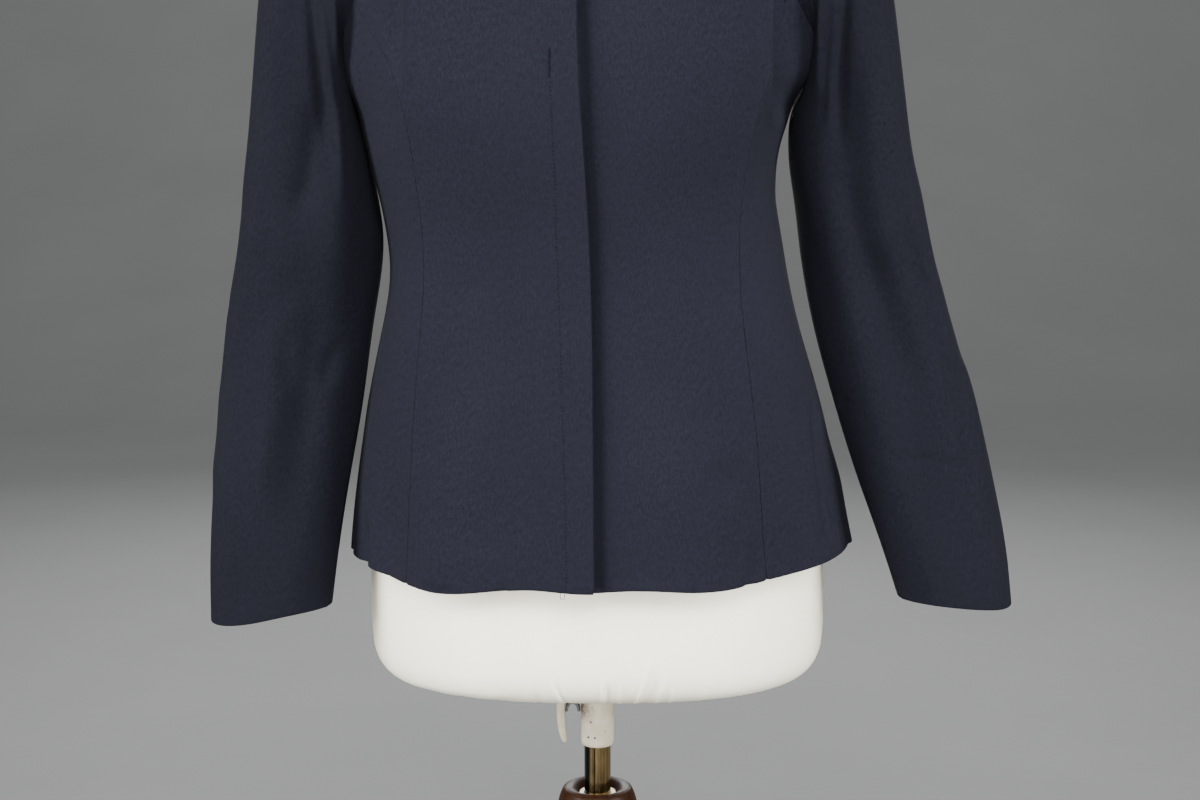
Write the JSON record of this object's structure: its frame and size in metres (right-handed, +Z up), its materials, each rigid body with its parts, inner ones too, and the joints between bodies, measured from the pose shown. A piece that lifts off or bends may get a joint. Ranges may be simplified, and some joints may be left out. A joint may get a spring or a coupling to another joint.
{
  "type": "zip-up blazer worn on a limbless dress form and tripod stand",
  "caption": "Fitted long-sleeved blazer with notched lapels and a hidden zip under a fly front, worn by a limbless dress form on a pole and tripod stand.",
  "frame": {"origin": "on the floor under the middle of the stand, the centre of the box's lower face", "axes": "+Z up; the fronts of the blazer face -Y; +X is the wearer's left"},
  "size_m": [0.6492, 0.5586, 1.332],
  "materials": {
    "navy_wool": "fine twill wool suiting, matt",
    "navy_tape": "woven zip tape, matt",
    "cream_jersey": "close-knit jersey cover, matt",
    "cream_enamel": "worn cream enamel, satin",
    "polished_steel": "bright steel with a warm cast",
    "dark_wood": "dark stained and varnished turned wood"
  },
  "bodies": {
    "stand": {"stand_hub": "dark_wood", "stand_ring": "cream_enamel", "stand_leg_1": "dark_wood", "stand_leg_2": "dark_wood", "stand_leg_3": "dark_wood"},
    "pole": {"pole": "polished_steel"},
    "form": {"front_right": "navy_wool", "front_left": "navy_wool", "side_right": "navy_wool", "side_left": "navy_wool", "back_right": "navy_wool", "back_left": "navy_wool", "lapel_right": "navy_wool", "lapel_left": "navy_wool", "collar": "navy_wool", "sleeve_top_right": "navy_wool", "sleeve_under_right": "navy_wool", "sleeve_top_left": "navy_wool", "sleeve_under_left": "navy_wool", "zip_tape": "navy_tape", "zip_slider": "polished_steel", "form_torso": "cream_jersey", "form_socket": "cream_enamel", "clamp_bracket": "polished_steel"},
    "lever": {"clamp_lever": "cream_enamel"}
  },
  "joints": [
    {"name": "form_turn", "type": "hinge", "parent": "stand", "child": "pole", "pos_m": [0, 0, 0.39], "axis": [0, 0, 1], "continuous": true},
    {"name": "form_height", "type": "slide", "parent": "pole", "child": "form", "axis": [0, 0, 1], "range_m": [-0.03, 0.15]},
    {"name": "clamp_turn", "type": "hinge", "parent": "form", "child": "lever", "pos_m": [-0.0272, 0, 0.476], "axis": [0, 1, 0], "range_deg": [0, 50]}
  ]
}
